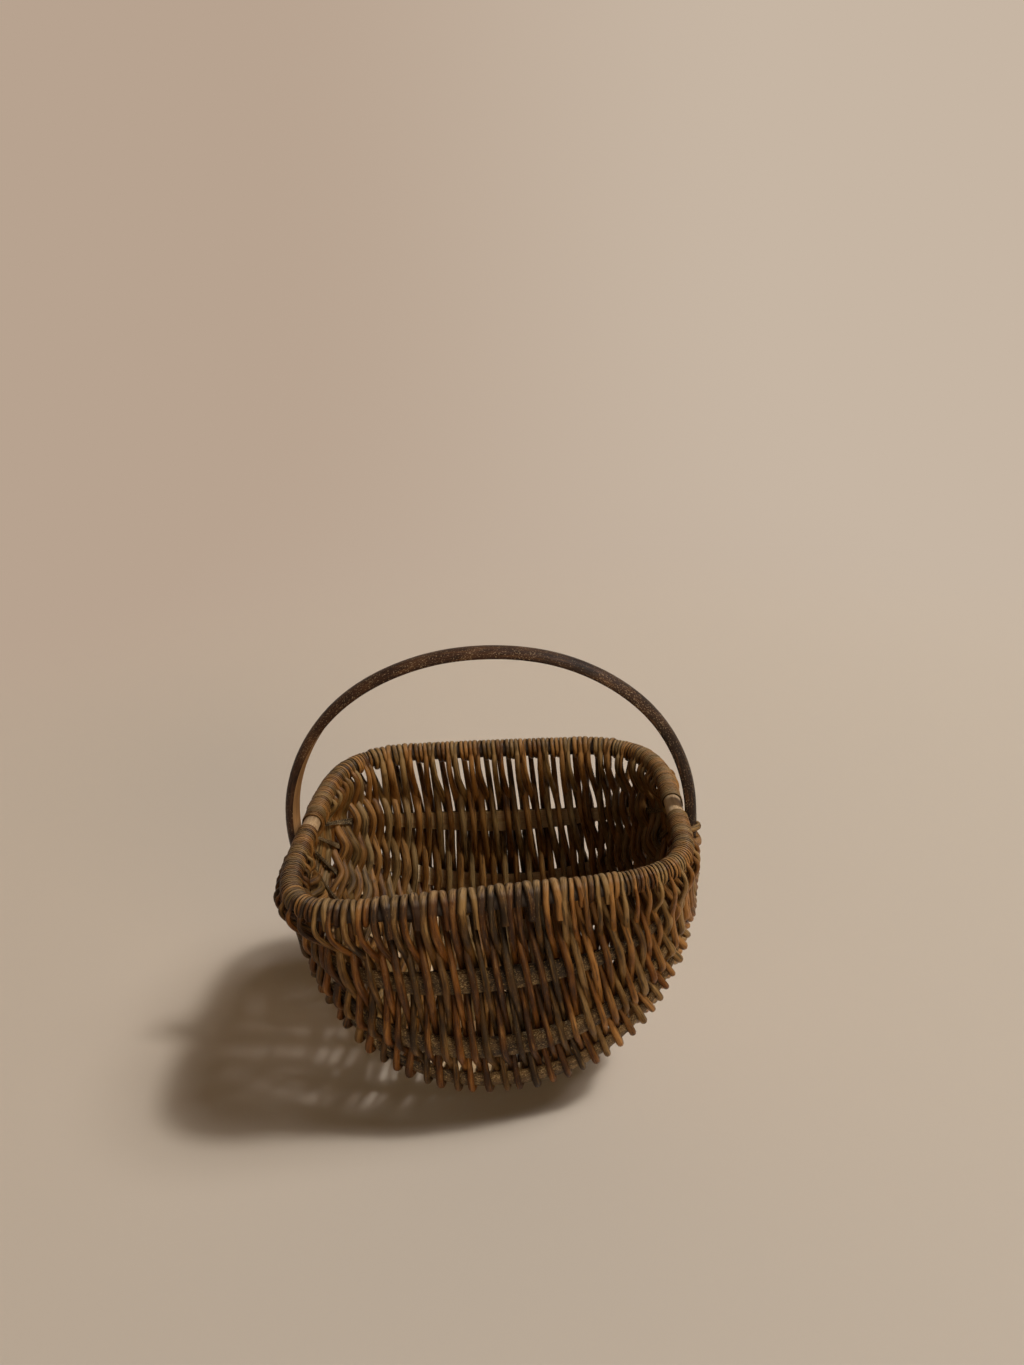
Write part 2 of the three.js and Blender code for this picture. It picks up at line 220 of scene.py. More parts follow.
def makeRibLine(fan, jointFan, tipGap):
    def fanAt(t):
        return jointFan + (fan - jointFan) * np.sin(math.pi * t) ** 2

    line = layLine(
        "rib",
        lambda t: shellPoint(fanAt(t), math.pi * t),
        lambda t, along: shellOutward(fanAt(t), math.pi * np.clip(t, rib["poleClear"], 1 - rib["poleClear"])),
    )
    tip = tipGap / line["length"]
    line["ends"] = (tip, 1 - tip)
    return line


jointLine = hoopPoint(math.pi) - hoopPoint(0)
hoopAcross = unit(np.cross(up, jointLine))


def makeHoopLine(firstTurn):
    def outward(t, along):
        twist = hoop["twist"] * along[:, 2:] ** 2
        return np.cross(hoopAcross * np.cos(twist) + np.cross(up, hoopAcross) * np.sin(twist), along)

    return layLine("hoop", lambda t: hoopPoint(firstTurn + math.pi * t), outward)


frontRim, backRim = makeRimLine(0), makeRimLine(math.pi)
keel, handle = makeHoopLine(0), makeHoopLine(math.pi)
ribTurns = list(zip(np.radians(rib["angles"]), np.radians(rib["jointAngles"]), rib["tipGaps"]))
frontRibs = [makeRibLine(fan, jointFan, gap) for fan, jointFan, gap in ribTurns]
backRibs = [makeRibLine(math.pi - fan, math.pi - jointFan, gap) for fan, jointFan, gap in ribTurns]
stakes = [frontRim, *frontRibs, keel, *reversed(backRibs), backRim]

# Where the form's own middle lies in the frame: the rim's solid gives it
rimLow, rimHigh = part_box("rim_hoop")
rimPoints = np.concatenate([frontRim["points"], backRim["points"]])
rimMiddle = (rimPoints.min(0) + rimPoints.max(0)) / 2 * mm
originShift = np.array((rimLow + rimHigh) / 2) - rimMiddle
print("form laid out, rim at", round(float(originShift[2]), 4), "m")


# Half widths and half thicknesses of a rib at a share of its line
def ribSize(line, share):
    first, last = line["ends"]
    swell = np.sin(math.pi * np.clip((share - first) / (last - first), 0, 1)) ** rib["swell"]
    wide = rib["tipWide"] + (rib["wide"] - rib["tipWide"]) * swell
    thick = rib["tipThick"] + (rib["thick"] - rib["tipThick"]) * swell
    return wide / 2, thick / 2


# A straight stick: a grid whose columns go round the section and whose rows go along it
def straightStick(name, sides, steps):
    bpy.ops.object.select_all(action="DESELECT")
    bpy.ops.mesh.primitive_grid_add(x_subdivisions=sides, y_subdivisions=steps, size=1)
    stick = bpy.context.active_object
    stick.name = name
    stick.data.name = name
    return stick


# The stick bent to its rings, its seam merged and its open ends closed
def bendStick(stick, rings, straight, marks, closed):
    mesh = stick.data
    steps, sides = rings.shape[0] - 1, rings.shape[1]
    flat = np.empty(len(mesh.vertices) * 3)
    mesh.vertices.foreach_get("co", flat)
    flat = flat.reshape(-1, 3)
    column = np.rint((flat[:, 0] + 0.5) * sides).astype(int) % sides
    row = np.rint((flat[:, 1] + 0.5) * steps).astype(int)
    placed = rings[row, column] * mm + originShift
    mesh.vertices.foreach_set("co", placed.ravel())
    laid = mesh.attributes.new("stick", "FLOAT_VECTOR", "POINT")
    laid.data.foreach_set("vector", (straight[row, column] * mm).ravel())
    for name, values in marks.items():
        mark = mesh.attributes.new(name, "FLOAT", "POINT")
        mark.data.foreach_set("value", values[row, column].astype(np.float32))
    mesh.update()
    bpy.ops.object.mode_set(mode="EDIT")
    bpy.ops.mesh.select_all(action="SELECT")
    bpy.ops.mesh.remove_doubles(threshold=1e-6)
    if not closed:
        bpy.ops.mesh.select_all(action="SELECT")
        bpy.ops.mesh.fill_holes(sides=0)
    bpy.ops.mesh.select_all(action="SELECT")
    bpy.ops.mesh.normals_make_consistent(inside=False)
    bpy.ops.object.mode_set(mode="OBJECT")
    return stick


# Slow random waves along a stick
def lowNoise(count, waves, size):
    place = np.linspace(0, 1, count)
    made = np.zeros(count)
    for wave in range(1, waves + 1):
        made += np.sin(2 * math.pi * (wave * place + chance.random())) * chance.normal() / wave
    return made * size


# The flat inner side takes the second material
def paintInside(piece):
    mesh = piece.data
    flat = np.empty(len(mesh.vertices), np.float32)
    mesh.attributes["flat"].data.foreach_get("value", flat)
    inward = [int(min(flat[v] for v in face.vertices) > 0.5) for face in mesh.polygons]
    mesh.polygons.foreach_set("material_index", inward)


def smoothPiece(piece, degrees):
    bpy.ops.object.select_all(action="DESELECT")
    piece.select_set(True)
    bpy.context.view_layer.objects.active = piece
    bpy.ops.object.shade_smooth_by_angle(angle=math.radians(degrees))


def finishPiece(piece, node, paints):
    for paint in paints:
        piece.data.materials.append(paint)
    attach(piece, "root")
    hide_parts(node)


# Materials: each helper adds nodes to a tree
def newPaint(name):
    paint = bpy.data.materials.new(name)
    paint.use_nodes = True
    return paint, paint.node_tree, paint.node_tree.nodes["Principled BSDF"]


def addNode(tree, kind, **values):
    node = tree.nodes.new(kind)
    for key, value in values.items():
        setattr(node, key, value)
    return node


# A socket takes a fixed value, or a link from another node
def feed(tree, socket, value):
    if isinstance(value, (int, float, tuple)):
        socket.default_value = value
    else:
        tree.links.new(value, socket)


def mixColour(tree, factor, first, second):
    node = addNode(tree, "ShaderNodeMix", data_type="RGBA")
    for place, value in zip((0, 6, 7), (factor, first, second)):  # its colour sockets share their names
        feed(tree, node.inputs[place], value)
    return node.outputs[2]


def mathNode(tree, operation, first, second, clamp=False):
    node = addNode(tree, "ShaderNodeMath", operation=operation, use_clamp=clamp)
    feed(tree, node.inputs[0], first)
    feed(tree, node.inputs[1], second)
    return node.outputs[0]


def plus(tree, first, second):
    return mathNode(tree, "ADD", first, second)


def times(tree, first, second):
    return mathNode(tree, "MULTIPLY", first, second)


def spread(tree, value, low, high):
    node = addNode(tree, "ShaderNodeMapRange", interpolation_type="SMOOTHSTEP")
    for name, given in (("Value", value), ("From Min", low), ("From Max", high)):
        feed(tree, node.inputs[name], given)
    return node.outputs["Result"]


# Noise drawn out along a stick
def stickNoise(tree, source, stretch, size, detail, rough):
    mapping = addNode(tree, "ShaderNodeMapping")
    mapping.inputs["Scale"].default_value = (1, 1, stretch)
    tree.links.new(source, mapping.inputs["Vector"])
    noise = addNode(tree, "ShaderNodeTexNoise")
    for name, value in (("Scale", size), ("Detail", detail), ("Roughness", rough)):
        noise.inputs[name].default_value = value
    tree.links.new(mapping.outputs["Vector"], noise.inputs["Vector"])
    return noise.outputs["Fac"]


# Linear light from an sRGB colour
def linear(red, green, blue):
    def turn(value):
        value /= 255
        return value / 12.92 if value <= 0.04045 else ((value + 0.055) / 1.055) ** 2.4

    return (turn(red), turn(green), turn(blue), 1.0)


def newGroup(name, inputs, outputs):
    group = bpy.data.node_groups.new(name, "ShaderNodeTree")
    for way, sockets in (("INPUT", inputs), ("OUTPUT", outputs)):
        for kind, names in sockets.items():
            for socket in names:
                group.interface.new_socket(socket, in_out=way, socket_type="NodeSocket" + kind)
    return group, group.nodes.new("NodeGroupInput").outputs, group.nodes.new("NodeGroupOutput").inputs


bark = {  # each noise: its stretch along the stick, size, detail and roughness
    "ridges": (0.05, 2600, 3.0, 0.65),
    "streaks": (0.09, 620, 4.0, 0.6),
    "blotches": (0.45, 75, 3.0, 0.55),
    "specks": (0.55, 1500, 1.5, 0.4),
    "frays": (0.12, 1400, 3.0, 0.6),
    "blotchTone": 1.5,
    "toneDown": 0.75,
    "middleTones": (0.15, 0.6),
    "paleTones": (0.55, 1.0),
    "darkStreaks": (0.48, 0.66),
    "darkShare": 0.85,
    "paleStreaks": (0.47, 0.3),
    "paleShare": 0.65,
    "blotchSpecks": 0.3,
    "speckEdge": (0.8, 0.87),
    "streakHeight": 0.8,
    "blotchHeight": 2.5,
    "speckHeight": 0.5,
    "streakDull": 0.28,
    "frayEdge": (0.34, 0.62),
    "knotShare": 0.75,
    # share of the painted shade between wraps
    "paintedShadeShare": 0.8,
    "bumpDepth": 0.0004,
}


# Bark along a stick: fine ridges and long streaks, blotches, and specks of lenticels
def makeBarkGroup():
    inputs = {
        "Vector": ["Stick"],
        "Float": ["Tone", "Speck", "Speck Cover"],
        "Color": ["Dark", "Middle", "Pale", "Speck Colour"],
    }
    tree, given, made = newGroup("stickBark", inputs, {"Color": ["Colour"], "Float": ["Height", "Dull"]})
    ridges, streaks, blotches, specks = [
        stickNoise(tree, given["Stick"], *bark[noise]) for noise in ("ridges", "streaks", "blotches", "specks")
    ]
    shade = plus(tree, given["Tone"], times(tree, blotches, bark["blotchTone"]))
    shade = mathNode(tree, "SUBTRACT", shade, bark["toneDown"])
    body = mixColour(tree, spread(tree, shade, *bark["middleTones"]), given["Dark"], given["Middle"])
    body = mixColour(tree, spread(tree, shade, *bark["paleTones"]), body, given["Pale"])
    darkShare = times(tree, spread(tree, streaks, *bark["darkStreaks"]), bark["darkShare"])
    body = mixColour(tree, darkShare, body, given["Dark"])
    paleShare = times(tree, spread(tree, streaks, *bark["paleStreaks"]), bark["paleShare"])
    body = mixColour(tree, paleShare, body, given["Pale"])
    covered = plus(tree, specks, given["Speck Cover"])
    covered = plus(tree, covered, times(tree, blotches, bark["blotchSpecks"]))
    speckShare = times(tree, spread(tree, covered, *bark["speckEdge"]), given["Speck"])
    body = mixColour(tree, speckShare, body, given["Speck Colour"])
    tree.links.new(body, made["Colour"])
    height = plus(tree, ridges, times(tree, streaks, bark["streakHeight"]))
    height = plus(tree, height, times(tree, blotches, bark["blotchHeight"]))
    height = plus(tree, height, times(tree, speckShare, bark["speckHeight"]))
    tree.links.new(height, made["Height"])
    tree.links.new(plus(tree, times(tree, streaks, bark["streakDull"]), speckShare), made["Dull"])
    return tree


barkGroup = makeBarkGroup()

wood = {
    "fibres": (0.03, 1500, 4.0, 0.6),
    "stains": (0.3, 90, 3.0, 0.6),
    "brownEdge": (0.75, 1.3),
    "bump": 0.4,
    "bumpDepth": 0.0003,
}


# Split or cut wood: pale, with fine fibres along the stick
def makeFibreGroup():
    inputs = {"Vector": ["Stick"], "Color": ["Pale", "Brown"]}
    tree, given, made = newGroup("woodFibre", inputs, {"Color": ["Colour"], "Float": ["Height"]})
    fibres = stickNoise(tree, given["Stick"], *wood["fibres"])
    stains = stickNoise(tree, given["Stick"], *wood["stains"])
    brownShare = spread(tree, plus(tree, fibres, stains), *wood["brownEdge"])
    tree.links.new(mixColour(tree, brownShare, given["Pale"], given["Brown"]), made["Colour"])
    tree.links.new(fibres, made["Height"])
    return tree


fibreGroup = makeFibreGroup()


def groupNode(tree, group, values):
    node = addNode(tree, "ShaderNodeGroup", node_tree=group)
    for name, value in values.items():
        feed(tree, node.inputs[name], value)
    return node.outputs


def attribute(tree, name, output="Fac"):
    return addNode(tree, "ShaderNodeAttribute", attribute_name=name).outputs[output]


def bumpOnto(tree, shader, height, strength, depth):
    bump = addNode(tree, "ShaderNodeBump")
    for name, value in (("Strength", strength), ("Distance", depth), ("Height", height)):
        feed(tree, bump.inputs[name], value)
    tree.links.new(bump.outputs["Normal"], shader.inputs["Normal"])


def barkPaint(name, look):
    paint, tree, shader = newPaint(name)
    stick = attribute(tree, "stick", "Vector")
    values = {"Stick": stick, "Tone": attribute(tree, "tone")}
    values.update({"Dark": look["dark"], "Middle": look["middle"], "Pale": look["pale"]})
    values.update({"Speck": look["speck"], "Speck Cover": look["cover"], "Speck Colour": look["speckColour"]})
    made = groupNode(tree, barkGroup, values)
    colour = made["Colour"]
    if "wearAndHighlight" in look:
        # Pale tops of the wraps: partly frayed wear, partly a painted highlight
        frays = stickNoise(tree, stick, *bark["frays"])
        wearAndHighlight = times(tree, attribute(tree, "wearAndHighlight"), spread(tree, frays, *bark["frayEdge"]))
        colour = mixColour(tree, wearAndHighlight, colour, look["wearAndHighlight"])
        # Dark knot scars, and painted shade in the crevices between wraps
        for mark in ("knot", "paintedShade"):
            share = times(tree, attribute(tree, mark), bark[mark + "Share"])
            colour = mixColour(tree, share, colour, look[mark])
    tree.links.new(colour, shader.inputs["Base Color"])
    shader.inputs["Specular IOR Level"].default_value = look["gloss"]
    tree.links.new(plus(tree, made["Dull"], look["rough"]), shader.inputs["Roughness"])
    bumpOnto(tree, shader, made["Height"], look["bump"], bark["bumpDepth"])
    return paint


def woodPaint(name, pale, brown, rough, paintedShade=None):
    paint, tree, shader = newPaint(name)
    stick = attribute(tree, "stick", "Vector")
    made = groupNode(tree, fibreGroup, {"Stick": stick, "Pale": pale, "Brown": brown})
    colour = made["Colour"]
    # Painted shade: a dark colour mixed in where the mark says so
    if paintedShade:
        colour = mixColour(tree, attribute(tree, "paintedShade"), colour, paintedShade)
    tree.links.new(colour, shader.inputs["Base Color"])
    shader.inputs["Roughness"].default_value = rough
    bumpOnto(tree, shader, made["Height"], wood["bump"], wood["bumpDepth"])
    return paint


willowLook = {
    "speckColour": linear(150, 124, 88),
    "speck": 0.35,
    "cover": 0.0,
    # pale of frayed fibres and of the painted highlight on the wrap tops
    "wearAndHighlight": linear(172, 140, 98),
    "knot": linear(36, 22, 10),
    # dark of the painted shade between wraps
    "paintedShade": linear(16, 8, 3),
    "gloss": 0.2,
    "rough": 0.26,
    "bump": 0.8,
}
willowColours = [  # dark, middle and pale of each bundle of rods
    (linear(42, 22, 6), linear(98, 59, 17), linear(142, 101, 54)),
    (linear(38, 25, 10), linear(90, 61, 26), linear(134, 106, 66)),
    (linear(46, 24, 6), linear(103, 61, 17), linear(148, 104, 54)),
    (linear(34, 19, 6), linear(82, 48, 13), linear(126, 87, 42)),
    (linear(40, 27, 11), linear(90, 62, 25), linear(134, 104, 62)),
]
willowPaints = []
for number, (dark, middle, pale) in enumerate(willowColours, 1):
    look = dict(willowLook, dark=dark, middle=middle, pale=pale)
    willowPaints.append(barkPaint(f"willow{number}", look))
cutPaint = woodPaint("cutWillow", pale=linear(150, 116, 78), brown=linear(92, 64, 38), rough=0.75)
handleLook = {
    "dark": linear(26, 14, 8),
    "middle": linear(58, 36, 22),
    "pale": linear(92, 62, 38),
    "speckColour": linear(158, 134, 106),
    "speck": 0.7,
    "cover": 0.035,
    "gloss": 0.18,
    "rough": 0.3,
    "bump": 0.9,
}
handlePaint = barkPaint("handleBark", handleLook)
handleInside = woodPaint("handleSplit", pale=linear(166, 128, 84), brown=linear(116, 82, 48), rough=0.6)
ribLook = {
    "dark": linear(40, 28, 16),
    "middle": linear(84, 63, 38),
    "pale": linear(124, 98, 64),
    "speckColour": linear(172, 150, 112),
    "speck": 0.85,
    "cover": 0.09,
    "gloss": 0.3,
    "rough": 0.4,
    "bump": 0.8,
}
ribPaint = barkPaint("ribBark", ribLook)
ribInside = woodPaint("ribSplit", pale=linear(238, 210, 168), brown=linear(200, 164, 116), rough=0.65)
rimLook = {
    "pale": linear(196, 168, 130),
    "brown": linear(146, 112, 76),
    "rough": 0.55,
    # dark of the painted shade on the rim between its wraps
    "paintedShade": linear(40, 24, 11),
}
rimPaint = woodPaint("rimPeeled", **rimLook)
print("materials made:", len(bpy.data.materials))

# Half-round strip, flat face inwards: its section is in half widths and half thicknesses
strip = {
    "flatEdge": 0.94,
    "flatMiddle": 0.33,
    "corner": -0.86,
    "shoulder": -0.7,
    "roundness": 0.8,
    "arc": (0.1, 1.45),
    "arcPoints": 5,
    "flatFaces": 3,
    "uneven": 0.03,
    "unevenWaves": 9,
    "wobbleWaves": 12,
    "crease": 40.0,
}
middleTone = 0.5


# Points of the section: along the flat face, round the back from right to left, and to the first corner
def stripSection():
    edge, inner, shoulder = strip["flatEdge"], strip["flatMiddle"], strip["shoulder"]
    flat = [(-edge, -1), (-inner, -1), (inner, -1), (edge, -1), (1, strip["corner"])]
    angles = np.linspace(*strip["arc"], strip["arcPoints"])
    arc = [(math.cos(a) ** strip["roundness"], shoulder + (1 - shoulder) * math.sin(a)) for a in angles]
    return np.array(flat + arc + [(-x, y) for x, y in reversed(arc)] + [(-1, strip["corner"])])


def stripRings(points, along, out, halfWide, halfThick, wobble):
    count = len(points)
    across = np.cross(along, out)
    section = stripSection()
    wide = halfWide * (1 + lowNoise(count, strip["unevenWaves"], strip["uneven"]))
    thick = halfThick * (1 + lowNoise(count, strip["unevenWaves"], strip["uneven"]))
    for way in (out, across):
        points = points + way * lowNoise(count, strip["wobbleWaves"], wobble)[:, None]
    a = section[None, :, 0] * wide[:, None]
    o = section[None, :, 1] * thick[:, None]
    rings = points[:, None] + across[:, None] * a[..., None] + out[:, None] * o[..., None]
    return rings, np.stack([a, o, np.broadcast_to(pathLengths(points)[:, None], a.shape)], axis=-1)


def makeStrip(name, rings, straight, tone, split, closed):
    steps, sides = rings.shape[0] - 1, rings.shape[1]
    stick = straightStick(name, sides, steps)
    tones = np.broadcast_to(tone[:, None], rings.shape[:2])
    flat = split[:, None] * (np.arange(sides) <= strip["flatFaces"])
    bendStick(stick, rings, straight, {"tone": tones, "flat": flat}, closed)
    paintInside(stick)
    smoothPiece(stick, strip["crease"])
    return stick


def makeHandle():
    joined = {}
    share = np.linspace(0, 1, hoop["steps"] // 2 + 1)
    for key in ("points", "out", "along"):
        joined[key] = np.concatenate([onLine(keel, key, share)[:-1], onLine(handle, key, share)])
        joined[key][-1] = joined[key][0]
    count = len(joined["points"])
    rings, straight = stripRings(
        joined["points"],
        unit(joined["along"]),
        unit(joined["out"]),
        np.full(count, hoop["wide"] / 2),
        np.full(count, hoop["thick"] / 2),
        hoop["wobble"],
    )
    rings[-1] = rings[0]
    tone = middleTone + lowNoise(count, hoop["toneWaves"], hoop["toneSpread"])
    piece = makeStrip("handle_hoop_bark", rings, straight, tone, np.ones(count), True)
    finishPiece(piece, "handle_hoop", [handlePaint, handleInside])


def makeRib(name, line):
    share = np.linspace(line["ends"][0], line["ends"][1], rib["steps"] + 1)
    halfWide, halfThick = ribSize(line, share)
    rings, straight = stripRings(
        onLine(line, "points", share),
        unit(onLine(line, "along", share)),
        unit(onLine(line, "out", share)),
        halfWide,
        halfThick,
        rib["wobble"],
    )
    straight[..., 2] += chance.random() * rib["barkLength"]
    fromTip = np.minimum(share - share[0], share[-1] - share) * line["length"]
    tone = middleTone + lowNoise(len(share), rib["toneWaves"], rib["toneSpread"])
    split = fromTip > rib["tipLaid"] + rib["tipDark"]
    piece = makeStrip(name + "_split", rings, straight, tone, split, False)
    finishPiece(piece, name, [ribPaint, ribInside])


# Ways out from the middle of a round stick, and the same stick laid straight
def roundSpokes(first, second, turns):
    return first[:, None] * np.cos(turns)[None, :, None] + second[:, None] * np.sin(turns)[None, :, None]


def roundStraight(radius, turns, lengths):
    along = np.broadcast_to(lengths[:, None], radius.shape)
    return np.stack([radius * np.cos(turns), radius * np.sin(turns), along], axis=-1)


def makeRimPiece():
    half = rim["steps"] // 2
    front, back = np.linspace(0, 1, half + 1), np.linspace(1, 0, half + 1)
    points = np.concatenate([onLine(frontRim, "points", front)[:-1], onLine(backRim, "points", back)])
    points[-1] = points[0]
    along = unit(np.roll(points[:-1], -1, axis=0) - np.roll(points[:-1], 1, axis=0))
    along = np.concatenate([along, along[:1]])
    out = np.cross(along, up)
    turns = 2 * math.pi * np.arange(rim["sides"]) / rim["sides"]
    radius = rim["thick"] / 2 * (1 + lowNoise(len(points), rim["unevenWaves"], rim["uneven"]))
    radius[-1] = radius[0]
    radius = np.repeat(radius[:, None], rim["sides"], axis=1)
    spoke = roundSpokes(out, np.broadcast_to(up, points.shape), turns)
    rings = points[:, None] + spoke * radius[..., None]
    straight = roundStraight(radius, turns, pathLengths(points))
    joints = np.stack([frontRim["points"][0], frontRim["points"][-1]])
    toJoint = np.linalg.norm(points[:, None] - joints, axis=2).min(axis=1)
    # The rim wood is painted dark, as painted shade between the wraps, and stays pale only at the bare patch by
    # each joint
    paintedShade = ramp(toJoint, rim["bare"], rim["bare"] * rim["bareEdge"])
    paintedShade = np.repeat(paintedShade[:, None], rim["sides"], axis=1)
    stick = straightStick("rim_hoop_peeled", rim["sides"], rim["steps"])
    bendStick(stick, rings, straight, {"paintedShade": paintedShade}, True)
    smoothPiece(stick, rim["crease"])
    finishPiece(stick, "rim_hoop", [rimPaint])


makeHandle()
makeRimPiece()
for number, (front, back) in enumerate(zip(frontRibs, backRibs), 1):
    makeRib(f"rib_front_{number}", front)
    makeRib(f"rib_back_{number}", back)
print("hoops and ribs made")

# Rods: each makes two rows, turns over one rim, and has its two cut ends at the other
rod = {
    "count": 50,
    "crowding": 0.1,
    "drift": 0.009,
    "jointBare": 11.0,
    "fatness": 1.36,
    "fatterBehind": 0.18,
    "fatterBelow": 0.24,
    "lowPart": (0.4, 0.8),
    "lowBehind": (-60.0, 0.0),
    "fatterAtSides": 0.12,
    "sidePart": (0.25, 0.65),
    "taper": 0.13,
    "uneven": 0.012,
    "unevenWaves": 40,
    "unlike": 0.07,
    "mostUnlike": 1.6,
    "sides": 10,
    "step": 2.6,
    "fineStep": 0.8,
    "closestStops": 0.6,
    "stub": (9.0, 15.0),
    "tuck": (7.0, 16.0),
    "endLean": 0.35,
    "wander": 0.9,
    "stray": 0.6,
    "closeness": 1.08,
    "closerByJoints": 0.4,
    "jointPart": (0.08, 0.24),
    "hugging": 0.09,
    "hoopPress": 1.2,
    "hoopGapOutside": 0.1,
    "hoopGapInside": 0.9,
    "ribPress": 0.85,
    "ribGap": 0.05,
    "ribArch": 0.11,
    "rimClear": 1.3,
    "freeReach": 0.5,
    "slimmest": 0.55,
    "meetsRim": -14.0,
    "meetsRimHugging": -50.0,
    "toneSpread": 0.11,
    "toneDrift": 0.07,
    "toneWaves": 12,
    # painted light: rods at the back and on the right are made paler
    "paintedLightBehind": 0.42,
    "behindPart": (-75.0, 20.0),
    "paintedLightRight": 0.4,
    "rightPart": (0.55, 0.7),
    "barkLength": 1700.0,
    "lean": ([0, 30, 50, 100], [-1.4, -1.0, -0.4, -0.2]),
    "leanBehind": -0.5,
    "crease": 50.0,
}
rows = 2 * rod["count"]
carriedValues = 6  # of a point: slimness, the way it is pressed in x, y and z, shade, and if it is in a wrap

# Wraps of two neighbouring rods over a rim: of the one with its ends there, and of the one that turns there
wrap = {
    "byJoints": [(10, (4, 3)), (14, (3, 3)), (18, (2, 2))],
    "frontMiddle": (2, 1),
    "backMiddle": (2, 3),
    "pairRows": 4,
    "slant": 0.25,
    "angleStep": 30,
    "flat": 0.7,
    "jointSlot": 0.2,
    "unlike": 0.3,
    "stubShare": 0.75,
}


def rowShare(row):
    even = (np.asarray(row, float) + 0.5) / rows
    crowded = even - rod["crowding"] * np.sin(2 * math.pi * even) / (2 * math.pi)
    drifted = crowded + rod["drift"] * np.sin(math.pi * even) ** 2
    bare = rod["jointBare"] / frontRim["length"]
    return bare + (1 - 2 * bare) * drifted


def rowPitch(row):
    return float(rowShare(row + 0.5) - rowShare(row - 0.5)) * frontRim["length"]


def isOutside(row, stake):
    return (row + stake) % 2 == 0


# How far a wrap lies from its own row along the rim, in rows: this makes the rods lean
def leanAt(row, line):
    return rod["leanBehind"] if line is backRim else float(np.interp(row, *rod["lean"]))


# Points round a rim, and the ways out from it: angle 0 is its outer side, 90 its top, 180 its inner side
def roundRim(line, slots, angleFrom, angleTo, lift):
    count = max(2, int(abs(angleTo - angleFrom) / wrap["angleStep"]) + 1)
    share = rowShare(np.linspace(*slots, count))
    angle = np.radians(np.linspace(angleFrom, angleTo, count))[:, None]
    spokes = unit(onLine(line, "out", share)) * np.cos(angle) + up * np.sin(angle)
    return onLine(line, "points", share) + spokes * (rim["thick"] / 2 + lift), spokes


# Stops of one row between the rims, and how they press it: midway between two stakes its neighbours squeeze it
def rowStops(row, half):
    share = float(rowShare(row))
    fromJoint = min(share, 1 - share)
    closeness = rod["closeness"] + rod["closerByJoints"] * (1 - ramp(fromJoint, *rod["jointPart"]))
    squeeze = math.sqrt(ramp(1 - closeness * rowPitch(row) / (2 * half), 0, 1 - wrap["flat"]))
    stray = chance.normal() * rod["stray"]
    stops = []
    keelPoint = onLine(keel, "points", share)[0]
    rims = [onLine(line, "points", share)[0] for line in (frontRim, backRim)]
    for k, line in enumerate(stakes[1:-1], 1):
        sign = 1 if isOutside(row, k) else -1
        point = onLine(line, "points", share)[0]
        out = unit(onLine(line, "out", share))[0]
        along = unit(onLine(line, "along", share))[0]
        first, last = line["ends"]
        press = np.zeros(3)
        if line["kind"] == "hoop":
            pressed = rod["hoopPress"] if fromJoint < rod["hugging"] and sign > 0 else 0
            press = out * pressed
            flat = 1 - (1 - wrap["flat"]) * pressed**2
            gap = rod["hoopGapOutside"] if sign > 0 else rod["hoopGapInside"]
            reach = sign * (hoop["thick"] / 2 + half * flat + gap)
        elif first < share < last:
            halfWide, halfThick = ribSize(line, share)
            if min(share - first, last - share) * line["length"] < rib["tipLaid"]:
                sign = 1  # the tips lie inside all rods
                press = along * squeeze
            elif sign < 0 and k > len(stakes) // 2:  # narrow inside the back ribs, which show between
                press = along * rod["ribPress"]
            gap = rod["ribGap"] if sign > 0 else rod["ribArch"] * halfWide
            reach = sign * (halfThick + half + gap)
        else:
            clear = min(np.linalg.norm(point - end) for end in rims) > rim["thick"] * rod["rimClear"]
            clear = clear and np.linalg.norm(point - keelPoint) > hoop["wide"]
            if not clear:
                continue
            reach = None
        wander = along * (stray + chance.normal() * rod["wander"])
        stops.append([point + wander, out, reach, press])
    known = [k for k, stop in enumerate(stops) if stop[2] is not None]
    for k, stop in enumerate(stops):
        if stop[2] is None:
            stop[2] = float(np.interp(k, known, [stops[n][2] * rod["freeReach"] for n in known]))
    points = np.array([point + out * reach for point, out, reach, press in stops])
    presses = np.array([stop[3] for stop in stops])
    allPoints = np.empty((2 * len(stops) - 1, 3))
    allPresses = np.empty_like(allPoints)
    allPoints[::2], allPoints[1::2] = points, (points[1:] + points[:-1]) / 2
    across = unit(onLine(keel, "along", share))[0]
    allPresses[::2], allPresses[1::2] = presses, across * squeeze
    return allPoints, allPresses


# A row with its way round both rims: where it meets them, and how it goes on below them
def laidRow(row, half, slots, slims):
    middle, presses = rowStops(row, half)
    hugging = min(rowShare(row), 1 - rowShare(row)) < rod["hugging"]
    ends = []
    for line, slot, stake in ((frontRim, slots[0], 0), (backRim, slots[1], len(stakes) - 1)):
        side = 0 if isOutside(row, stake) else 180
        low = rod["meetsRimHugging"] if hugging else rod["meetsRim"]
        below = low if side == 0 else 180 - low
        ends.append(roundRim(line, (slot, slot), side, below, half)[0][-1:])
    points = np.concatenate([ends[0], middle, ends[1]])
    carried = np.zeros((len(points), carriedValues))
    carried[:, 0] = 1
    carried[[0, -1], 0] = np.clip(slims, rod["slimmest"], 1)
    carried[1:-1, 1:4] = presses
    return points, carried


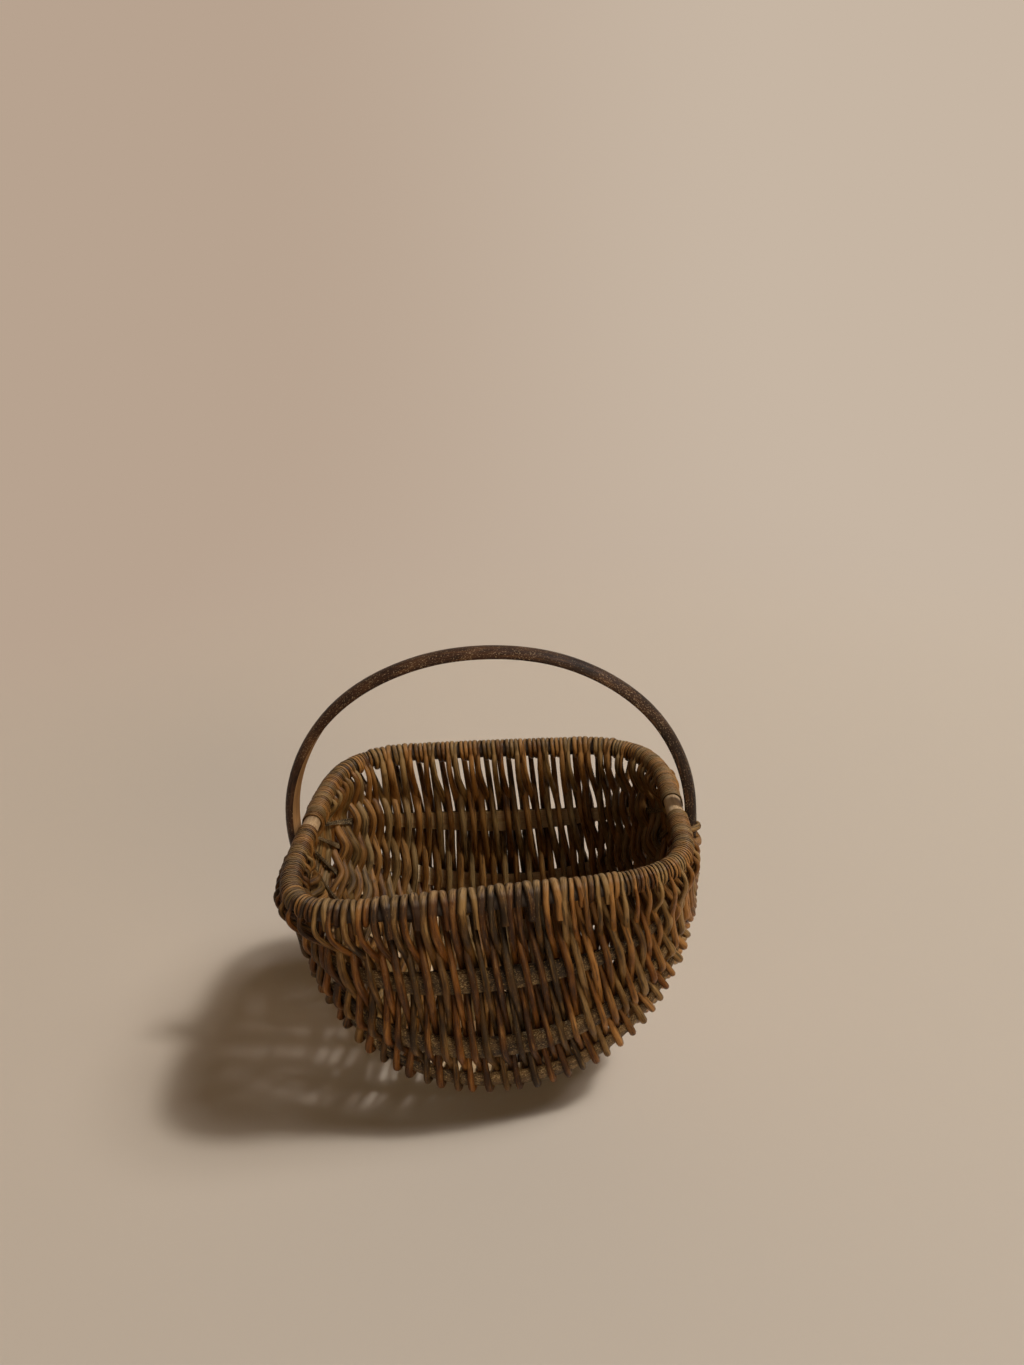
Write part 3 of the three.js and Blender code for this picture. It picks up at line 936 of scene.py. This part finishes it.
# The wraps of one rod: how many, the step between them in rows, where the first lies, and half a strand's width
def wrapPlan(number, line):
    pair = number // 2
    fromJoint = 2 * min(pair, rod["count"] // 2 - 1 - pair)
    middle = wrap["backMiddle"] if line is backRim else wrap["frontMiddle"]
    atEnds, atTurn = next((counts for reach, counts in wrap["byJoints"] if fromJoint < reach), middle)
    step = wrap["pairRows"] / (atEnds + atTurn)
    counts = (atEnds, atTurn) if line is frontRim else (atTurn, atEnds)
    first = wrap["pairRows"] * pair - 0.5 + step / 2 + leanAt(2 * number, line)
    first += counts[0] * step if number % 2 else 0
    count = counts[number % 2]
    extra = round(wrap["jointSlot"] / step)
    if number == 0:
        first -= extra * step
    if number in (0, rod["count"] - 1):
        count += extra
    half = step * rowPitch(2 * number + 0.5) / 2
    return {"line": line, "count": count, "step": step, "first": first, "half": half}


# Where some wraps of a rod begin and end along the rim, in rows
def wrapSlots(plan, start, count):
    first = plan["first"] + (start - wrap["slant"]) * plan["step"]
    return first, first + (count - 2 * wrap["slant"]) * plan["step"]


# Points of some wraps, and what they carry
def layWraps(plan, slots, count, inwards, half):
    angles = (0, 180 + 360 * (count - 1)) if inwards else (180, -360 * (count - 1))
    points, spokes = roundRim(plan["line"], slots, *angles, plan["half"] * wrap["flat"])
    shades = chance.normal(size=count) * wrap["unlike"]
    turn = np.minimum(np.arange(len(points)) * count // len(points), count - 1)
    slims = np.full(len(points), plan["half"] / half)
    return points, np.column_stack([slims, spokes, shades[turn], np.ones(len(points))])


# A cut end that hangs down from the last wrap
def addCutEnd(points, carried, length):
    way = unit(points[-1] - points[-2])
    drop = unit(way * rod["endLean"] - up)
    points = np.concatenate([points, points[-1:] + drop * length / 2, points[-1:] + drop * length])
    return points, np.concatenate([carried, carried[-1:], carried[-1:]])


# Stops of a whole rod: tucked end, first row, turn, second row and cut end
def rodPath(number, half):
    atBack = number % 2 == 0  # it turns over the back rim, and has its ends at the front
    ends = wrapPlan(number, frontRim if atBack else backRim)
    turn = wrapPlan(number, backRim if atBack else frontRim)
    tucked = ends["count"] // 2
    tuckSlots = wrapSlots(ends, 0, tucked)
    stubSlots = wrapSlots(ends, tucked, ends["count"] - tucked)
    turnSlots = wrapSlots(turn, 0, turn["count"])
    outerSlots, innerSlots = (tuckSlots[0], turnSlots[0]), (stubSlots[0], turnSlots[1])
    way = 1 if atBack else -1
    slims = (ends["half"] / half, turn["half"] / half)[::way]
    outer = laidRow(2 * number, half, outerSlots[::way], slims)
    inner = laidRow(2 * number + 1, half, innerSlots[::way], slims)
    tuck = layWraps(ends, tuckSlots, tucked, True, half)
    tuck = addCutEnd(*tuck, chance.uniform(*rod["tuck"]) * min(1, ends["step"]))
    over = layWraps(turn, turnSlots, turn["count"], True, half)
    stub = layWraps(ends, stubSlots, ends["count"] - tucked, False, half)
    stub = addCutEnd(*stub, chance.uniform(*rod["stub"]) * min(1, ends["step"] * wrap["stubShare"]))
    runs = [(tuck, -1), (outer, way), (over, 1), (inner, -way), (stub, 1)]
    return [np.concatenate([run[k][::turned] for run, turned in runs]) for k in (0, 1)]


# Smooth line through the stops, at even steps along it, with what the stops carry
def smoothPath(stops, carried, step):
    kept = np.r_[True, np.linalg.norm(np.diff(stops, axis=0), axis=1) > rod["closestStops"]]
    stops, carried = stops[kept], carried[kept]
    gaps = np.linalg.norm(np.diff(stops, axis=0), axis=1)
    slopes = np.diff(stops, axis=0) / gaps[:, None]
    tangents = np.empty_like(stops)
    tangents[0], tangents[-1] = slopes[0], slopes[-1]
    before, after = gaps[:-1, None], gaps[1:, None]
    tangents[1:-1] = (slopes[:-1] * after + slopes[1:] * before) / (before + after)
    fine, marks = [], [0]
    for k, gap in enumerate(gaps):
        t = np.linspace(0, 1, max(3, int(gap / rod["fineStep"])), endpoint=False)[:, None]
        a, b = stops[k], stops[k + 1]
        p = (2 * t**3 - 3 * t**2 + 1) * a + (t**3 - 2 * t**2 + t) * gap * tangents[k]
        p += (3 * t**2 - 2 * t**3) * b + (t**3 - t**2) * gap * tangents[k + 1]
        fine.append(p)
        marks.append(marks[-1] + len(p))
    fine = np.concatenate([*fine, stops[-1:]])
    lengths = pathLengths(fine)
    even = np.linspace(0, lengths[-1], int(lengths[-1] / step) + 1)
    points = np.stack([np.interp(even, lengths, fine[:, k]) for k in range(3)], axis=-1)
    return points, even, [np.interp(even, lengths[marks], values) for values in carried.T]


# Directions along a path and across it, carried on from point to point without a twist
def carriedFrames(points):
    along = unit(np.gradient(points, axis=0))
    anyWay = [0.3, 0.5, 0.8]
    side = unit(np.cross(along[0], anyWay))
    sides = np.empty_like(points)
    for k, way in enumerate(along):
        side = side - way * np.dot(side, way)
        side = side / np.linalg.norm(side)
        sides[k] = side
    return along, sides, np.cross(along, sides)


knot = {
    "every": 110.0,
    "spacing": (0.6, 1.5),
    "fromEnds": 15.0,
    "long": 2.6,
    "wide": 0.6,
    "swelling": 0.05,
    "bud": 0.16,
    "scar": 1.6,
}


def bell(values, width):
    return np.exp(-((values / width) ** 2))


# Knots swell a rod all round and more on one side, where they leave a dark mark
def addKnots(radius, lengths, turns):
    marks = np.zeros_like(radius)
    place = chance.uniform(knot["fromEnds"], knot["every"])
    while place < lengths[-1] - knot["fromEnds"]:
        aim = chance.uniform(0, 2 * math.pi)
        facing = bell(np.angle(np.exp(1j * (turns - aim))), knot["wide"])[None]
        radius *= 1 + bell(lengths - place, knot["long"])[:, None] * (knot["swelling"] + knot["bud"] * facing)
        marks = np.maximum(marks, bell(lengths - place, knot["scar"])[:, None] * facing)
        place += chance.uniform(*knot["spacing"]) * knot["every"]
    return marks


# Where wraps are pale on top of the rim, partly as frayed wear and partly as a painted highlight, and where
# they are painted dark between two of them, as painted shade
wearHighlightAndShade = {"top": (0.7, 1.0), "outer": (0.3, 0.9), "thick": (-0.3, 1.0), "flank": (0.5, 0.95)}


def makeRod(number):
    half = rowPitch(2 * number + 0.5) / 2 * rod["fatness"]
    sideways = ramp(abs(2 * number + 1 - rows / 2) / (rows / 2), *rod["sidePart"])
    half *= 1 + rod["fatterAtSides"] * sideways
    half *= 1 + float(np.clip(chance.normal(), -rod["mostUnlike"], rod["mostUnlike"])) * rod["unlike"]
    points, lengths, (slims, *press, shade, wrapped) = smoothPath(*rodPath(number, half), rod["step"])
    press = np.column_stack(press)
    along, sideWay, otherWay = carriedFrames(points)
    count = len(points)
    turns = 2 * math.pi * np.arange(rod["sides"]) / rod["sides"]
    butt = 1 if chance.random() < 0.5 else -1
    radius = half * (1 + butt * rod["taper"] * np.linspace(1, -1, count))
    radius = radius * (1 + lowNoise(count, rod["unevenWaves"], rod["uneven"])) * slims
    radius = np.repeat(radius[:, None], rod["sides"], axis=1)
    knots = addKnots(radius, lengths, turns)
    fatter = rod["fatterBehind"] * np.clip(points[:, 1] / bowl["halfDepth"], -1, 1)
    low = rod["fatterBelow"] * ramp(-points[:, 2] / bowl["depth"], *rod["lowPart"])
    fatter += low * ramp(points[:, 1], *rod["lowBehind"])
    radius *= (1 + fatter * (1 - wrapped))[:, None]
    spoke = roundSpokes(sideWay, otherWay, turns)
    outwardness = np.sum(spoke * press[:, None], axis=2)
    sunk = outwardness * radius * (1 - wrap["flat"])
    rings = points[:, None] + spoke * radius[..., None] - press[:, None] * sunk[..., None]
    straight = roundStraight(radius, turns, lengths + number * rod["barkLength"])
    # Pale on top of the wraps and on their outer side: frayed wear and a painted highlight
    wearAndHighlight = ramp(press[:, 2:], *wearHighlightAndShade["top"]) * ramp(outwardness, *wearHighlightAndShade["outer"])
    wearAndHighlight = wearAndHighlight * (wrapped * ramp(slims, *wearHighlightAndShade["thick"]))[:, None]
    # Painted shade on the flanks of the wraps, in the crevices between two of them
    flank = np.abs(np.sum(spoke * np.cross(along, press)[:, None], axis=2))
    paintedShade = ramp(flank, *wearHighlightAndShade["flank"]) * wrapped[:, None]
    tone = middleTone + chance.normal() * rod["toneSpread"]
    tone = tone + lowNoise(count, rod["toneWaves"], rod["toneDrift"]) + shade
    # Rods at the back and on the right are painted paler: painted light standing in for more light falling on
    # them
    tone += rod["paintedLightBehind"] * ramp(points[:, 1], *rod["behindPart"])
    tone += rod["paintedLightRight"] * ramp(number / rod["count"], *rod["rightPart"])
    tone = np.repeat(tone[:, None], rod["sides"], axis=1)
    name = f"rod_{number + 1:02d}"
    stick = straightStick(name + "_willow", rod["sides"], count - 1)
    bendStick(stick, rings, straight, {"tone": tone, "wearAndHighlight": wearAndHighlight, "paintedShade": paintedShade, "knot": knots}, False)
    for face in stick.data.polygons:
        if len(face.vertices) > 4:  # only the two cut ends have more corners
            face.material_index = 1
    smoothPiece(stick, rod["crease"])
    bundle = number % len(willowPaints)
    finishPiece(stick, name, [willowPaints[bundle], cutPaint])


for number in range(rod["count"]):
    makeRod(number)
print("rods woven:", rod["count"])

# Plain floor that runs up into the backdrop
stage = {
    "halfWide": 6.0,
    "front": -3.0,
    "back": 3.2,
    "high": 5.0,
    "round": 1.2,
    "roundSteps": 24,
    "lampsAway": 3.0,
}
lowest = float(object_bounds()[0].z)
bpy.ops.object.select_all(action="DESELECT")
bpy.ops.mesh.primitive_plane_add(size=1)
floor = bpy.context.active_object
floor.name = "studio_floor"
corners = [(-1, 0), (1, 0), (-1, 1), (1, 1)]
for vertex, (x, y) in zip(floor.data.vertices, corners):
    vertex.co = (x * stage["halfWide"], stage["back"] if y else stage["front"], lowest)
bpy.ops.object.mode_set(mode="EDIT")
bpy.ops.mesh.select_all(action="DESELECT")
bpy.ops.object.mode_set(mode="OBJECT")
for edge in floor.data.edges:
    edge.select = all(floor.data.vertices[v].co.y > 0 for v in edge.vertices)
bpy.ops.object.mode_set(mode="EDIT")
bpy.ops.mesh.select_mode(type="EDGE")
bpy.ops.mesh.extrude_region_move(TRANSFORM_OT_translate={"value": (0, 0, stage["high"])})
bpy.ops.object.mode_set(mode="OBJECT")
bend = floor.modifiers.new("coveCurve", "BEVEL")
bend.width, bend.segments, bend.limit_method = stage["round"], stage["roundSteps"], "ANGLE"
bpy.ops.object.modifier_apply(modifier=bend.name)
bpy.ops.object.shade_smooth()

# Floor colours near the basket, and even ones of the backdrop farther off; each goes from darker on the left to
# lighter on the right, as a painted fall of light
ground = {
    "left": linear(196, 182, 166),
    "right": linear(211, 199, 184),
    "span": (-0.7, 0.8),
    "rough": 0.9,
    "gloss": 0.1,
}
backdrop = {
    "left": linear(184, 163, 144),
    "right": linear(199, 182, 164),
    "span": (-0.9, 0.9),
    "worldSpan": (-0.3, 0.3),
    "distance": (0.75, 1.7),
    "glow": (1.0, 0.75, 0.45),
    "glowPower": 0.02,
}


def sideTint(tree, spot, colours, span):
    parts = addNode(tree, "ShaderNodeSeparateXYZ")
    tree.links.new(spot, parts.inputs["Vector"])
    return mixColour(tree, spread(tree, parts.outputs["X"], *span), colours["left"], colours["right"])


# What the camera sees, straight, in a reflection or through something clear
def seenRays(tree):
    rays = addNode(tree, "ShaderNodeLightPath").outputs
    seen = mathNode(tree, "ADD", rays["Is Camera Ray"], rays["Is Glossy Ray"], True)
    return mathNode(tree, "MAXIMUM", seen, rays["Is Transmission Ray"])


floorPaint, tree, shader = newPaint("studioFloor")
shader.inputs["Roughness"].default_value = ground["rough"]
shader.inputs["Specular IOR Level"].default_value = ground["gloss"]
spot = addNode(tree, "ShaderNodeTexCoord").outputs["Object"]
tree.links.new(sideTint(tree, spot, ground, ground["span"]), shader.inputs["Base Color"])
away = addNode(tree, "ShaderNodeVectorMath", operation="LENGTH")
tree.links.new(spot, away.inputs[0])
farShare = times(tree, spread(tree, away.outputs["Value"], *backdrop["distance"]), seenRays(tree))
paper = addNode(tree, "ShaderNodeEmission")
tree.links.new(sideTint(tree, spot, backdrop, backdrop["span"]), paper.inputs["Color"])
blend = addNode(tree, "ShaderNodeMixShader")
for place, output in enumerate((farShare, shader.outputs["BSDF"], paper.outputs["Emission"])):
    tree.links.new(output, blend.inputs[place])
tree.links.new(blend.outputs["Shader"], tree.nodes["Material Output"].inputs["Surface"])
floor.data.materials.append(floorPaint)

# Studio light: a lamp on the right with a soft screen round it, and wide warm ones in front and on the left
white, warm = (1.0, 0.985, 0.97), (1.0, 0.76, 0.48)
lamps = {
    "keyLamp": {"azimuth": -13.0, "elevation": 57.0, "power": 1.2, "softness": 6.0, "colour": white},
    "keyScreen": {"azimuth": -9.0, "elevation": 55.0, "power": 1.33, "softness": 22.0, "colour": white},
    "frontLamp": {"azimuth": -57.0, "elevation": 9.0, "power": 1.26, "softness": 26.0, "colour": warm},
    "leftLamp": {"azimuth": -125.0, "elevation": 10.0, "power": 0.14, "softness": 40.0, "colour": warm},
}
for name, lamp in lamps.items():
    a, e = math.radians(lamp["azimuth"]), math.radians(lamp["elevation"])
    source = Vector((math.cos(a) * math.cos(e), math.sin(a) * math.cos(e), math.sin(e)))
    bpy.ops.object.light_add(type="SUN", location=source * stage["lampsAway"])
    made = bpy.context.active_object
    made.name = name
    made.data.energy = lamp["power"]
    made.data.angle = math.radians(lamp["softness"])
    made.data.color = lamp["colour"]
    made.rotation_euler = source.to_track_quat("Z", "Y").to_euler()

# The world looks like the backdrop, but lights the basket only with a faint glow
world = bpy.data.worlds.new("studioWorld")
bpy.context.scene.world = world
world.use_nodes = True
tree = world.node_tree
way = addNode(tree, "ShaderNodeTexCoord").outputs["Generated"]
around = sideTint(tree, way, backdrop, backdrop["worldSpan"])
glow = tuple(backdrop["glowPower"] * part for part in backdrop["glow"]) + (1.0,)
tree.links.new(mixColour(tree, seenRays(tree), glow, around), tree.nodes["Background"].inputs["Color"])

# Camera, as fitted to the rim and the handle: distance and angles from the middle of the rim
view = {
    "focal": 1100.0,
    "longSide": 1365.0,
    "sensor": 36.0,
    "distance": 6.135 * bowl["halfWidth"] * mm,
    "elevation": 27.3,
    "yaw": 4.16,
    "roll": -4.11,
    "pan": -1.74,
    "tilt": 6.65,
}


def wayBack(yaw, elevation):
    a, e = math.radians(yaw), math.radians(elevation)
    return Vector((math.sin(a) * math.cos(e), -math.cos(a) * math.cos(e), math.sin(e)))


bpy.ops.object.camera_add()
camera = bpy.context.active_object
camera.name = "photoCamera"
camera.data.sensor_width = view["sensor"]
camera.data.lens = view["focal"] * view["sensor"] / view["longSide"]
place = Vector(originShift) + wayBack(view["yaw"], view["elevation"]) * view["distance"]
forward = -wayBack(view["yaw"] + view["pan"], view["elevation"] - view["tilt"])
level = forward.cross(Vector((0, 0, 1))).normalized()
upright = level.cross(forward)
roll = math.radians(view["roll"])
right = level * math.cos(roll) + upright * math.sin(roll)
upward = upright * math.cos(roll) - level * math.sin(roll)
turned = Matrix((right, upward, -forward)).transposed().to_4x4()
camera.matrix_world = Matrix.Translation(place) @ turned
bpy.context.scene.camera = camera
bpy.context.scene.view_settings.view_transform = "Standard"
print("stage set")
